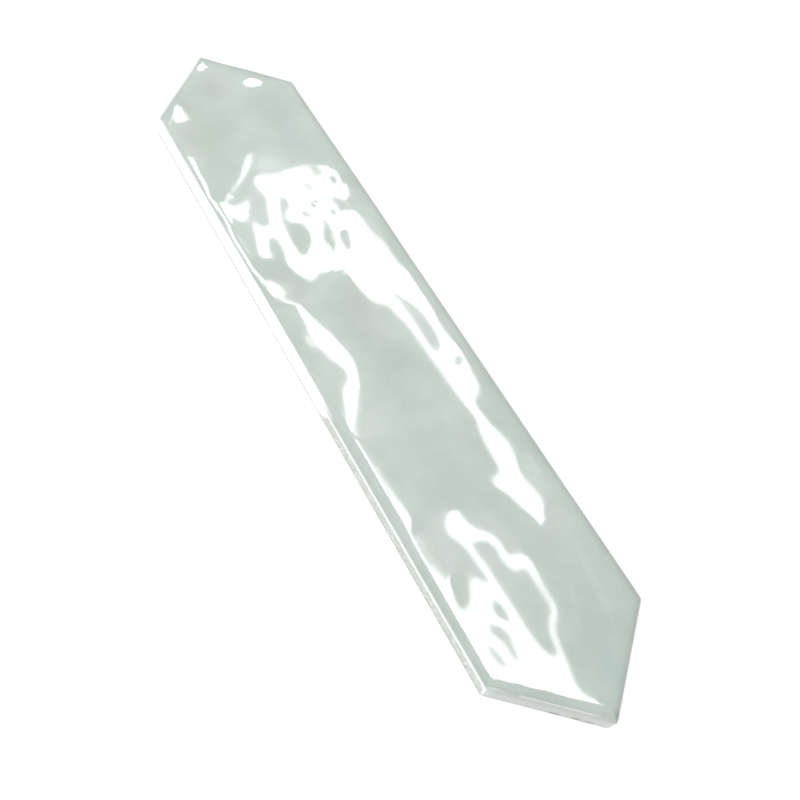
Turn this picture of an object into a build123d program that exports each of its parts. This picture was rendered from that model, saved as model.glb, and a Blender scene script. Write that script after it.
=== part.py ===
"""Picket wall tile of glazed ceramic, pressed and fired as one piece.

The tile lies on its back, glazed face up, in millimetres. The origin is on the floor under
the middle of the tile, +X points along the length to one point, +Y across it and +Z up.
"""

from build123d import *
from dataclasses import dataclass
from math import atan2, cos, exp, hypot, radians, sin
import os

# Driving dimensions of the outline
LENGTH = 330.0  # from point to point, before the corners are rounded
WIDTH = 65.0
POINT = 29.5  # how far each pointed end reaches past the straight sides
CORNER_RADIUS = 1.3

# The section
FACE_HEIGHT = 8.5  # back to the middle of the glazed face, before its waves
EDGE_FALL = 0.5  # how much the face has dropped where it meets the sides
EDGE_FALL_WIDTH = 5.0  # how far in from the sides that drop begins
ARRIS_RADIUS = 1.0  # the glazed edge between face and sides

# The keyed back, a field of shallow square pockets inside a plain rim
RIM = 6.0
POCKET = 9.0
RIB = 3.0
POCKET_DEPTH = 0.7
POCKET_DRAFT = 30.0  # degrees that the sides of a pocket lean in towards its floor
SMALLEST_POCKET = 30.0  # square millimetres, so the rim swallows the slivers

# How the face is sampled before a smooth surface is laid through it
SAMPLE_STEP = 2.5
SURFACE_TOLERANCE = 0.02
SURFACE_DEGREE = 3
CORNER_BLEND = 1.2  # how softly the fall turns the corners
OVERRUN = 6.0  # how far the surface runs past the outline
HEADROOM = 2.0  # how far the blank stands above the face before it is cut to it


@dataclass(frozen=True)
class Ripple:
    """One swelling of the face, or a hollow where its rise is negative."""

    x: float
    y: float
    along: float  # half length
    across: float  # half width
    turn: float  # degrees from the tile's length
    rise: float

    def height(self, x: float, y: float) -> float:
        """How much this ripple lifts the face at a place."""
        dx, dy = x - self.x, y - self.y
        c, s = cos(radians(self.turn)), sin(radians(self.turn))
        u, v = (dx * c + dy * s) / self.along, (dy * c - dx * s) / self.across
        return self.rise * exp(-u * u - v * v)


# The hand-made look of the face: two great swells, then the hollows, then the small swells
RIPPLES = [
    Ripple(x=-54, y=22, along=17, across=20, turn=0, rise=0.38),
    Ripple(x=-14, y=-4, along=30, across=14, turn=-5, rise=0.28),
    Ripple(x=-87, y=-10, along=22, across=13, turn=0, rise=-0.28),
    Ripple(x=120, y=-10, along=26, across=14, turn=0, rise=-0.40),
    Ripple(x=48, y=-21, along=28, across=12, turn=10, rise=-0.26),
    Ripple(x=88, y=-24, along=20, across=12, turn=0, rise=-0.20),
    Ripple(x=15, y=-31, along=22, across=10, turn=25, rise=-0.18),
    Ripple(x=75, y=27, along=18, across=12, turn=0, rise=-0.12),
    Ripple(x=-135, y=-10, along=16, across=25, turn=0, rise=-0.10),
    Ripple(x=-85, y=31, along=25, across=8, turn=0, rise=0.18),
    Ripple(x=-50, y=-31, along=18, across=8, turn=0, rise=0.18),
    Ripple(x=160, y=0, along=9, across=9, turn=0, rise=0.12),
]


def distance_inside(x: float, y: float) -> float:
    """How far a place is inside the outline, with the corners rounded off smoothly."""
    lean = POINT / (WIDTH / 2)
    to_side = WIDTH / 2 - abs(y)
    to_point = (LENGTH / 2 - abs(x) - lean * abs(y)) / hypot(1, lean)
    gap = abs(to_side - to_point)
    return min(to_side, to_point) - CORNER_BLEND * exp(-gap / CORNER_BLEND) / 2


def face_height(x: float, y: float) -> float:
    """The height of the glazed face at a place."""
    share = max(0.0, 1 - distance_inside(x, y) / EDGE_FALL_WIDTH)
    furthest = 1.5  # past the outline the fall is not let run away
    fall = EDGE_FALL * min(share, furthest) ** 2
    return FACE_HEIGHT - fall + sum(ripple.height(x, y) for ripple in RIPPLES)


def steps(reach: float) -> list[float]:
    """Evenly spaced places from -reach to reach, about SAMPLE_STEP apart."""
    count = round(2 * reach / SAMPLE_STEP)
    return [-reach + 2 * reach * i / count for i in range(count + 1)]


def glazed_face() -> Face:
    """The wavy face as one smooth surface, a little larger than the tile."""
    rows = [
        [(x, y, face_height(x, y)) for x in steps(LENGTH / 2 + OVERRUN)]
        for y in steps(WIDTH / 2 + OVERRUN)
    ]
    return Face.make_surface_from_array_of_points(
        rows, tol=SURFACE_TOLERANCE, min_deg=SURFACE_DEGREE, max_deg=SURFACE_DEGREE
    )


def outline(inset: float) -> Sketch:
    """The long hexagon of the tile, drawn in by inset all round."""
    corner = atan2(WIDTH / 2, POINT)
    half_length = LENGTH / 2 - inset / sin(corner)
    half_width = WIDTH / 2 - inset
    shoulder = half_length - POINT * half_width / (WIDTH / 2)
    return Polygon(
        (half_length, 0),
        (shoulder, half_width),
        (-shoulder, half_width),
        (-half_length, 0),
        (-shoulder, -half_width),
        (shoulder, -half_width),
        align=None,
    )


def pressed_blank() -> Part:
    """The pressed body before its face is shaped, with upright sides and taller than the tile."""
    plan = fillet(outline(0).vertices(), CORNER_RADIUS)
    return extrude(plan, amount=FACE_HEIGHT + HEADROOM)


def back_pockets() -> Part:
    """What the punch presses out of the back, each pocket narrower at its floor."""
    pitch = POCKET + RIB
    columns, rows = int(LENGTH / pitch) | 1, int(WIDTH / pitch) | 1
    places = GridLocations(pitch, pitch, columns, rows)
    squares = Sketch() + [place * Rectangle(POCKET, POCKET) for place in places]
    field = squares & outline(RIM)
    pockets = Part()
    for square in field.faces():
        if square.area >= SMALLEST_POCKET:
            pockets += extrude(square, amount=POCKET_DEPTH, dir=(0, 0, 1), taper=POCKET_DRAFT)
    return pockets


def picket_tile() -> Part:
    """The whole tile: the blank cut to its wavy face, its arris rounded and its back keyed."""
    above_face = extrude(glazed_face(), amount=FACE_HEIGHT, dir=(0, 0, 1))
    body = pressed_blank() - above_face
    arris = body.faces().filter_by(GeomType.BSPLINE).sort_by(Axis.Z)[-1].outer_wire().edges()
    body = fillet(arris, ARRIS_RADIUS)
    return body - back_pockets()


tile = picket_tile()
os.makedirs("parts", exist_ok=True)
export_step(tile, "parts/picket_tile.step")
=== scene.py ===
"""The looks of a long hexagonal wall tile: a wavy gloss glaze over a pressed, fired body.

The tile lies on its back with its glazed face up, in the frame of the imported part. Sizes of the
tile and of its gleams are in millimetres, and a mesh gets them in metres when it is made.
"""

import logging
import math
from dataclasses import dataclass
from enum import Enum
from typing import Callable

import bpy
import numpy as np
from mathutils import Matrix, Vector


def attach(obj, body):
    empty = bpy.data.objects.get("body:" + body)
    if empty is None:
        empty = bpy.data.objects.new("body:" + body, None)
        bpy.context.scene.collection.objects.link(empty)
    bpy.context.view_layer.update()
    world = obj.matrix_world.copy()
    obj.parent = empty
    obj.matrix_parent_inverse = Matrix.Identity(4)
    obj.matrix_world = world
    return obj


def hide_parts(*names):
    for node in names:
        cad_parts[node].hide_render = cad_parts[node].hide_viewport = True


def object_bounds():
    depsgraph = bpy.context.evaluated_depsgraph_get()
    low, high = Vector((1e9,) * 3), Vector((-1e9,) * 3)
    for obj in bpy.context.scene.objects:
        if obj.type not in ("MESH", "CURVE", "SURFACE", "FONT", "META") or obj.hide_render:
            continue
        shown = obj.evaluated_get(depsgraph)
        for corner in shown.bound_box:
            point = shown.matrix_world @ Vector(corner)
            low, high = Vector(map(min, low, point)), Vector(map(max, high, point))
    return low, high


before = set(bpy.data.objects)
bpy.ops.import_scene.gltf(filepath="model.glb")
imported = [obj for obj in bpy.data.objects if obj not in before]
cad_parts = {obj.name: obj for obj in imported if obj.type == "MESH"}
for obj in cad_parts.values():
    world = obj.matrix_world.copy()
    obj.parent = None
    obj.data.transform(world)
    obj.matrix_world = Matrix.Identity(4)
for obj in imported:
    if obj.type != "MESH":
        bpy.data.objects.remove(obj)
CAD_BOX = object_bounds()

MM = 0.001
NODE = "picket_tile"

Socket = bpy.types.NodeSocket
Rgb = tuple[float, ...]  # the red, green and blue of a colour
Step = tuple[float, float, float, float]  # where a soft step starts and ends, and its two shares

log = logging.getLogger("picket_tile")

# The viewer's eye and the lamps, which the relief of the glaze is settled for
EYE = (153.88, -115.42, 295.6)
EYE_AIM = (27.79, -1.86, 0.0)
EYE_ROLL = 14.3  # degrees that the picture is turned about the line of sight
FRAME_PIXELS = 800
FOCAL_PIXELS = 888.1
LAMP_HEIGHT = 1000.0

# How the drawing of the gleams is laid on the face
DRAWING_SHIFT = (-0.3, 0.3)
DRAWING_SCALE = (1.0, 1.009)


class Lit(Enum):
    """How a drawn patch of the face shows in the light of the softboxes."""

    BRIGHT = 1
    FAINT = 0
    DARK = -1


@dataclass(frozen=True)
class Ripple:
    """One swelling of the face, or a hollow where its rise is negative, as in the solid part."""

    x: float
    y: float
    along: float
    across: float
    turn: float
    rise: float

    def height(self, x: np.ndarray, y: np.ndarray) -> np.ndarray:
        """How much this ripple lifts the face.

        Args:
            x: Places along the tile, in millimetres.
            y: Places across it.

        Returns:
            The lift at each place, in millimetres.
        """
        dx, dy = x - self.x, y - self.y
        c, s = math.cos(math.radians(self.turn)), math.sin(math.radians(self.turn))
        u, v = (dx * c + dy * s) / self.along, (dy * c - dx * s) / self.across
        return self.rise * np.exp(-u * u - v * v)


@dataclass(frozen=True)
class Patch:
    """A gleam, or a dark place in one, drawn by its outline in millimetres on the face."""

    lit: Lit
    outline: tuple[tuple[float, float], ...]

    def depth(self, x: np.ndarray, y: np.ndarray) -> np.ndarray:
        """How deep places lie inside the outline.

        Args:
            x: Places along the tile.
            y: Places across it.

        Returns:
            The distance to the outline, positive inside it.
        """
        near = np.full(x.shape, np.inf)
        inside = np.zeros(x.shape, bool)
        corners = np.array(self.outline, float)
        for (ax, ay), (bx, by) in zip(corners, np.roll(corners, -1, axis=0)):
            ex, ey = bx - ax, by - ay
            t = np.clip(((x - ax) * ex + (y - ay) * ey) / (ex * ex + ey * ey), 0, 1)
            near = np.minimum(near, np.hypot(x - ax - t * ex, y - ay - t * ey))
            if ay != by:
                inside ^= ((ay > y) != (by > y)) & (x < ax + (y - ay) * ex / ey)
        return np.where(inside, near, -near)


@dataclass(frozen=True)
class Thread:
    """A thin gleam, drawn as a line of places, each with the half width that it has there."""

    lit: Lit
    line: tuple[tuple[float, float, float], ...]

    def depth(self, x: np.ndarray, y: np.ndarray) -> np.ndarray:
        """How deep places lie inside the thread.

        Args:
            x: Places along the tile.
            y: Places across it.

        Returns:
            The distance to the thread's edge, positive inside it.
        """
        best = np.full(x.shape, -np.inf)
        for (ax, ay, aw), (bx, by, bw) in zip(self.line, self.line[1:]):
            ex, ey = bx - ax, by - ay
            t = np.clip(((x - ax) * ex + (y - ay) * ey) / (ex * ex + ey * ey), 0, 1)
            width = aw + t * (bw - aw)
            best = np.maximum(best, width - np.hypot(x - ax - t * ex, y - ay - t * ey))
        return best


# The swells and hollows of the face, the same as in the solid part
RIPPLES = (
    Ripple(x=-54, y=22, along=17, across=20, turn=0, rise=0.38),
    Ripple(x=-14, y=-4, along=30, across=14, turn=-5, rise=0.28),
    Ripple(x=-87, y=-10, along=22, across=13, turn=0, rise=-0.28),
    Ripple(x=120, y=-10, along=26, across=14, turn=0, rise=-0.40),
    Ripple(x=48, y=-21, along=28, across=12, turn=10, rise=-0.26),
    Ripple(x=88, y=-24, along=20, across=12, turn=0, rise=-0.20),
    Ripple(x=15, y=-31, along=22, across=10, turn=25, rise=-0.18),
    Ripple(x=75, y=27, along=18, across=12, turn=0, rise=-0.12),
    Ripple(x=-135, y=-10, along=16, across=25, turn=0, rise=-0.10),
    Ripple(x=-85, y=31, along=25, across=8, turn=0, rise=0.18),
    Ripple(x=-50, y=-31, along=18, across=8, turn=0, rise=0.18),
    Ripple(x=160, y=0, along=9, across=9, turn=0, rise=0.12),
)

# The gleams on the glaze, drawn on a grid of millimetres laid over the tile's face
GLEAMS = (
    Patch(Lit.BRIGHT, (
        (-89.5, -6.5), (-88.4, -3), (-87.2, 0), (-86.5, 3), (-87.8, 5.5), (-87, 8), (-86.3, 11),
        (-86.4, 15), (-83, 15.3), (-79.6, 15.4), (-78.7, 17), (-79.6, 18.8), (-82, 19.2),
        (-84.6, 19),
        (-84, 20.8), (-81.5, 22.8), (-79.5, 24.2), (-77.8, 24.6), (-74.5, 25), (-71.2, 24.8),
        (-69, 24.6), (-66, 24.4), (-63.6, 22.8), (-62.3, 20.6), (-64, 18.8),
        (-66.5, 17.2), (-65.5, 15.9), (-62, 15.7), (-58, 16.7), (-56.2, 18.6), (-56.4, 21.2),
        (-54, 22.3),
        (-48, 22.8), (-43.5, 22.2), (-40, 23.5), (-37, 24.7), (-30, 24.9), (-24, 24.9), (-20, 26.5),
        (-15, 27), (-9.5, 26), (-3, 26.7), (4, 26), (12, 25.2), (18, 26.3), (24, 27), (28, 26.2),
        (33, 25.3), (38, 25), (41.5, 23.6), (43.5, 20.6), (45.5, 19.3), (50, 19.5), (55, 19.8),
        (60, 21.3), (65, 22), (70, 21.5), (75, 19.6), (79, 19.2), (85, 20.3), (90, 20.6), (93, 19),
        (96, 16.8), (98.3, 15.2), (95, 14.4), (90, 12.8), (84, 11), (81, 10.6), (79, 8.7),
        (76, 8.2),
        (74.4, 9.5), (73.7, 12.6), (71, 13.4), (64, 13.7), (57, 14.5), (53, 15.9), (50, 16.4),
        (42, 15.5), (30, 15), (20, 14.5), (8, 14.1), (2, 13.6), (-3, 12), (-7.5, 11.6), (-9, 9.2),
        (-10.5, 7.4), (-16, 5.6), (-20, 4.8), (-26, 3.9), (-30.5, 2.8), (-32, 0), (-31.7, -3),
        (-33, -6), (-31, -9), (-31, -11), (-33.5, -12.8), (-38, -14.8), (-43, -15.5), (-47, -14.4),
        (-52, -13.8), (-56, -14), (-57.4, -15.8), (-56, -17.6), (-52, -18.5), (-48, -19.2),
        (-47.8, -21.5), (-49.3, -23.7), (-54, -23), (-60, -21), (-67, -19.2), (-66, -18),
        (-63, -16),
        (-62.4, -14), (-64, -12.6), (-70, -10.8), (-75, -8.9), (-79, -8.4), (-82, -9), (-85, -9.6),
        (-88.5, -9.2),
    )),
    Patch(Lit.DARK, (
        (-50, 14.3), (-46, 13.8), (-41, 12), (-38.2, 10.5), (-39, 9), (-43, 8.8), (-47, 9.8),
        (-49.8, 11.5),
    )),
    Patch(Lit.DARK, (
        (-56.8, 7.7), (-54, 9), (-51, 8.8), (-48, 6.9), (-44, 6.3), (-41.4, 4.8), (-43, 3.6),
        (-46.5, 3.2),
        (-50, 4.6), (-53.5, 6.2),
    )),
    Thread(Lit.FAINT, (
        (-49, 8.6, 1.2), (-44, 7.5, 1.4), (-40, 4, 1.4), (-36, 1.6, 1.2), (-33, 0.5, 1),
    )),
    Patch(Lit.DARK, (
        (-75.5, -2.8), (-72, -1), (-69, -1.2), (-67.6, -3.4), (-65.5, -5.2), (-62, -5.6),
        (-60.3, -4),
        (-59, -1.5), (-56.8, -0.4), (-52, -0.3), (-48, -2), (-45, -4.5), (-43.2, -7.4),
        (-44.5, -8.8),
        (-50, -8.8), (-56, -8.6), (-62, -7.8), (-68, -6.4), (-72, -4.6),
    )),
    Patch(Lit.DARK, (
        (-12, 17), (-8, 18.3), (-4, 20.6), (0, 21.8), (8, 22.3), (14, 21.8), (17.5, 20.5),
        (19.5, 18.4),
        (18, 17.2), (10, 16.8), (0, 16.9), (-6, 17), (-11, 16.2),
    )),
    Thread(Lit.DARK, ((-75.6, 21.8, 1.3), (-74, 21.4, 1.6), (-73, 21.6, 1.2))),
    Thread(Lit.DARK, ((-77.5, 10, 0.9), (-73.5, 10, 1.2))),
    Thread(Lit.DARK, ((-67, 8.4, 1.5), (-65.2, 8, 1.4))),
    Thread(Lit.DARK, ((-62.6, 2.4, 1.4), (-61.8, 2.8, 1.3))),
    Thread(Lit.DARK, ((-59.4, 13.2, 1.1), (-58, 13.2, 1.1))),
    Thread(Lit.FAINT, ((-78.5, 15.4, 0.9), (-75, 14.8, 0.8))),
    Thread(Lit.FAINT, ((-86.5, 3, 1), (-83.5, 2.8, 0.7))),
    Thread(Lit.DARK, ((25.5, 24.5, 1.2), (27, 23, 1.4))),
    Patch(Lit.BRIGHT, (
        (-79, -15.6), (-76, -16.4), (-70.3, -19.4), (-69.2, -21.5), (-70.5, -24), (-73.2, -25.6),
        (-71, -26.8), (-67.5, -28.2), (-64, -29.2), (-66, -29.7), (-72, -29.4), (-80, -29.6),
        (-86, -29.9),
        (-84, -28.8), (-82.2, -26.8), (-80.5, -24.8), (-78.4, -22.8), (-77.4, -20.6), (-78, -18.5),
    )),
    Thread(Lit.BRIGHT, (
        (-109, -27.7, 0.6), (-104, -28.1, 0.8), (-99, -28.5, 0.7), (-94, -28.1, 0.9),
        (-90, -29, 0.7),
        (-85, -29.5, 0.5), (-76, -28.4, 1.1), (-68, -28.9, 0.7), (-62, -29.4, 0.5),
        (-52, -29.3, 0.5),
        (-45, -29.1, 0.6), (-41, -28.4, 0.9), (-38, -27.7, 1.3), (-35, -26.4, 2), (-32, -25.2, 2.6),
        (-30.6, -24.7, 2.2),
    )),
    Thread(Lit.BRIGHT, ((-31, -25, 0.9), (-29.5, -25, 0.6), (-26.5, -24.6, 0.5), (-24, -22, 0.5))),
    Thread(Lit.BRIGHT, ((-101.5, -5, 0.5), (-97, -8, 1.1), (-93, -10.6, 1.4), (-90.5, -13, 0.9))),
    Thread(Lit.BRIGHT, (
        (-90.5, -13, 0.8), (-87.6, -17.3, 0.3), (-84.5, -21, 0.2), (-81.5, -23.6, 0.4),
    )),
    Patch(Lit.BRIGHT, (
        (-23.5, -20.6), (-22.5, -19.4), (-18, -19.2), (-13, -17.5), (-9, -16.8), (-5.5, -15),
        (0, -14.4),
        (5, -13.1), (9, -12.9), (14, -13.8), (20, -16), (24, -19), (30, -22.6), (33, -25),
        (36, -26.3),
        (40, -26.7), (45, -26.6), (55, -26.4), (65, -25.8), (70, -25.2), (73, -24.5), (76, -25.4),
        (79, -26.8), (84, -27.1), (90, -26.8), (95, -26), (99, -25.2), (101, -24.9), (104, -25.8),
        (107, -26.2), (109.6, -25.7), (111, -27), (110, -29.1), (105, -28.3), (100, -28),
        (95, -28.4),
        (90, -28.8), (85, -29), (80, -28.9), (75, -28.2), (70, -28), (60, -28.3), (55, -28.6),
        (50, -28.1), (45, -28.6), (36, -28.3), (33, -27.7), (30, -26.6), (25, -25), (20, -23.5),
        (18, -21.8), (17, -20), (15, -18.2), (12.5, -17.6), (9, -18.2), (6, -20), (3, -21),
        (0, -21.2),
        (-1.6, -22.6), (-3.4, -24.4), (-6, -24.8), (-10, -23.6), (-14, -22.4), (-19, -21.8),
    )),
    Patch(Lit.BRIGHT, (
        (78, -10.5), (79.5, -9), (84, -8), (88, -6.8), (89.5, -5), (91, -3.3), (94, -2), (97, -1.4),
        (101, -1.8), (102, -1), (102, 1.2), (103.5, 3.3), (106.5, 4.6), (110, 4.1), (115, 3.3),
        (120, 3.1), (124.5, 3.2), (126.5, 2), (128.5, -0.5), (131, -2), (135, -3), (140, -3.8),
        (145, -4.8), (148.5, -5.9), (152, -5), (155, -3), (157.3, -1.4), (156.2, -3.4),
        (153.6, -6.2),
        (150.7, -9.2), (148, -12.2), (145.2, -15.2), (142.5, -18.2), (139.8, -21.2), (137.1, -24.2),
        (135, -26.8), (133.5, -28.8), (129, -29), (124, -28.4), (119, -28.6),
        (113, -29.4), (109.5, -29), (110.6, -26), (110.5, -24), (109.8, -22.5), (108, -21),
        (105, -19.5), (102.3, -17), (103.5, -15), (106.5, -13.5), (105.5, -12.3), (101, -12.4),
        (95, -13), (90, -14), (87.5, -15.3), (85, -16), (82, -15.4), (79, -13.5),
    )),
    Patch(Lit.DARK, (
        (91.6, -10.6), (92.3, -6.5), (94, -4.8), (97, -3.9), (102, -3.9), (105.5, -3.8),
        (107, -1.8),
        (107.5, 0.5), (109.5, 1.7), (116, 1.9), (123.5, 1.8), (125, 1), (126.5, -1), (129.5, -3),
        (133.5, -4.2), (136.5, -4.8), (137.8, -6.2), (136.5, -8), (132, -9), (126, -9.8),
        (118, -9.9),
        (111, -10), (106, -10), (100, -10.4), (95, -10.9),
    )),
    Patch(Lit.FAINT, (
        (111.3, -14.8), (111.8, -13), (114, -12.2), (119.5, -12), (122, -12.8), (123, -14),
        (121.5, -14.6),
        (119.6, -16.4), (116.2, -17.6), (113.2, -16.6),
    )),
    Thread(Lit.DARK, ((113.8, -14.8, 0.9), (117, -14.4, 1.2))),
    Patch(Lit.DARK, (
        (119, -20.4), (119.6, -18.2), (122.2, -16.6), (125, -16.1), (128.3, -16.8), (132.6, -17.8),
        (131.7, -19), (128, -19), (124.9, -19.3), (122.5, -21),
    )),
    Thread(Lit.DARK, ((125.2, -24.2, 0.6), (128.5, -23.6, 1), (131.8, -23, 0.7))),
    Patch(Lit.FAINT, (
        (-20, -21.6), (-15, -20.6), (-9, -21.6), (-4, -21.4), (0.6, -21.8), (-0.3, -24),
        (-7.7, -24.4), (-14, -23.8),
    )),
    Patch(Lit.BRIGHT, (
        (-143.6, 11.6), (-141.4, 10.8), (-139, 11.6), (-137.4, 14.6), (-137.3, 17.4), (-139, 18.6),
        (-141.6, 17.6), (-143.5, 14.8),
    )),
    Patch(Lit.FAINT, ((-144.4, 9), (-142, 8.3), (-139.6, 9.6), (-139, 11.6), (-143.6, 11.6))),
    Patch(Lit.BRIGHT, (
        (-161.4, -1.6), (-160.2, 0.2), (-158, 0), (-155.6, -2.8), (-155.6, -5), (-157.6, -5.4),
        (-160.2, -3.4),
    )),
    Patch(Lit.BRIGHT, (
        (-140.6, -21.4), (-138.5, -20.6), (-133, -20), (-130.8, -20), (-130, -22), (-129.9, -25),
        (-131, -26.4), (-133, -25.6), (-137, -24.2), (-140, -22.6),
    )),
    Patch(Lit.BRIGHT, (
        (-134, -31.4), (-120, -31.3), (-88, -31.2), (-68, -30.9), (-48, -30.6), (-25, -30.6),
        (-3, -30.8),
        (10, -31), (24, -31.2), (24, -32.2), (-134, -32.2),
    )),
)


def hang_lamp(
    name: str, place: Vector, aim: Vector, size: tuple[float, float], glow: float
) -> None:
    """Hangs one rectangular lamp.

    Args:
        name: Its name.
        place: Where its middle is, in millimetres.
        aim: The place that it faces.
        size: Its size along X, or level, and its other size, in millimetres.
        glow: Its brightness, where 1 is the white of the floor.
    """
    long, wide = size
    bpy.ops.object.light_add(type="AREA", location=place * MM)
    lamp = bpy.context.object
    lamp.name = name
    lamp.data.shape = "RECTANGLE"
    lamp.data.size, lamp.data.size_y = long * MM, wide * MM
    lamp.data.energy = glow * math.pi * long * wide * MM * MM
    lamp.visible_camera = False
    if (aim - place).xy.length > 1:
        lamp.rotation_euler = (aim - place).to_track_quat("-Z", "Y").to_euler()


@dataclass(frozen=True)
class Softbox:
    """A rectangular lamp overhead, placed by where a flat tile would mirror it to the eye."""

    name: str
    along: tuple[float, float]  # where its image would lie along a flat tile
    across: tuple[float, float]
    glow: float = 11.0  # its brightness, where 1 is the white of the floor

    def build(self, face_height: float) -> None:
        """Hangs the lamp in the plane of the lamps, facing down.

        Args:
            face_height: The height of the flat tile's face.
        """
        reach = (LAMP_HEIGHT - face_height) / (EYE[2] - face_height)
        x0, x1 = (place + (place - EYE[0]) * reach for place in self.along)
        y0, y1 = (place + (place - EYE[1]) * reach for place in self.across)
        x, y = (x0 + x1) / 2, (y0 + y1) / 2
        place, below = Vector((x, y, LAMP_HEIGHT)), Vector((x, y, 0))
        hang_lamp(self.name, place, below, (x1 - x0, y1 - y0), self.glow)


# Where the gleams come from: seven softboxes, as wide apart as the gleams need
SOFTBOXES = (
    Softbox("far_strip_softbox", along=(-76, 98), across=(14.5, 24.5)),
    Softbox("square_softbox", along=(-88, -30), across=(-9, 14.5)),
    Softbox("left_strip_softbox", along=(-108, -30.5), across=(-52, -29)),
    Softbox("middle_strip_softbox", along=(-30.5, 34), across=(-30, -19)),
    Softbox("right_strip_softbox", along=(37, 112), across=(-38, -29)),
    Softbox("right_softbox", along=(92, 156), across=(-43, -12)),
    Softbox("left_edge_softbox", along=(-125, 25), across=(-122, -88), glow=10.0),
)


@dataclass(frozen=True)
class Outline:
    """The long hexagon of the tile and the section of its edge, as in the solid part."""

    length: float = 330.0
    width: float = 65.0
    point: float = 29.5
    corner_radius: float = 1.3
    face_height: float = 8.5
    edge_fall: float = 0.5
    edge_fall_width: float = 5.0
    furthest_fall: float = 1.5
    arris_radius: float = 1.0
    corner_blend: float = 1.2

    @property
    def lean(self) -> float:
        """How far the sides of a pointed end run back for each millimetre out."""
        return self.point / (self.width / 2)

    def inside(self, x: np.ndarray, y: np.ndarray) -> np.ndarray:
        """How far places lie inside the outline, with its corners smoothed off.

        Args:
            x: Places along the tile.
            y: Places across it.

        Returns:
            The distance to the nearest side, positive inside.
        """
        to_side = self.width / 2 - np.abs(y)
        to_point = (self.length / 2 - np.abs(x) - self.lean * np.abs(y)) / math.hypot(1, self.lean)
        gap = np.abs(to_side - to_point)
        blend = self.corner_blend
        return np.minimum(to_side, to_point) - blend * np.exp(-gap / blend) / 2

    def swell(self, x: np.ndarray, y: np.ndarray) -> np.ndarray:
        """The height of the face as the solid part has it: its fall to the sides and its ripples.

        Args:
            x: Places along the tile.
            y: Places across it.

        Returns:
            The height above the back at each place.
        """
        share = np.maximum(0, 1 - self.inside(x, y) / self.edge_fall_width)
        fall = self.edge_fall * np.minimum(share, self.furthest_fall) ** 2
        return self.face_height - fall + sum(ripple.height(x, y) for ripple in RIPPLES)

    def corners(self, inset: float) -> np.ndarray:
        """The six sharp corners of the outline, drawn in by inset.

        Args:
            inset: How far the sides are drawn in.

        Returns:
            Six places, in turn from the shoulder at -X -Y, anticlockwise.
        """
        half_length = self.length / 2 - inset * math.hypot(1, self.lean)
        half_width = self.width / 2 - inset
        shoulder = half_length - self.lean * half_width
        return np.array([
            (-shoulder, -half_width), (shoulder, -half_width), (half_length, 0.0),
            (shoulder, half_width), (-shoulder, half_width), (-half_length, 0.0),
        ])


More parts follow.
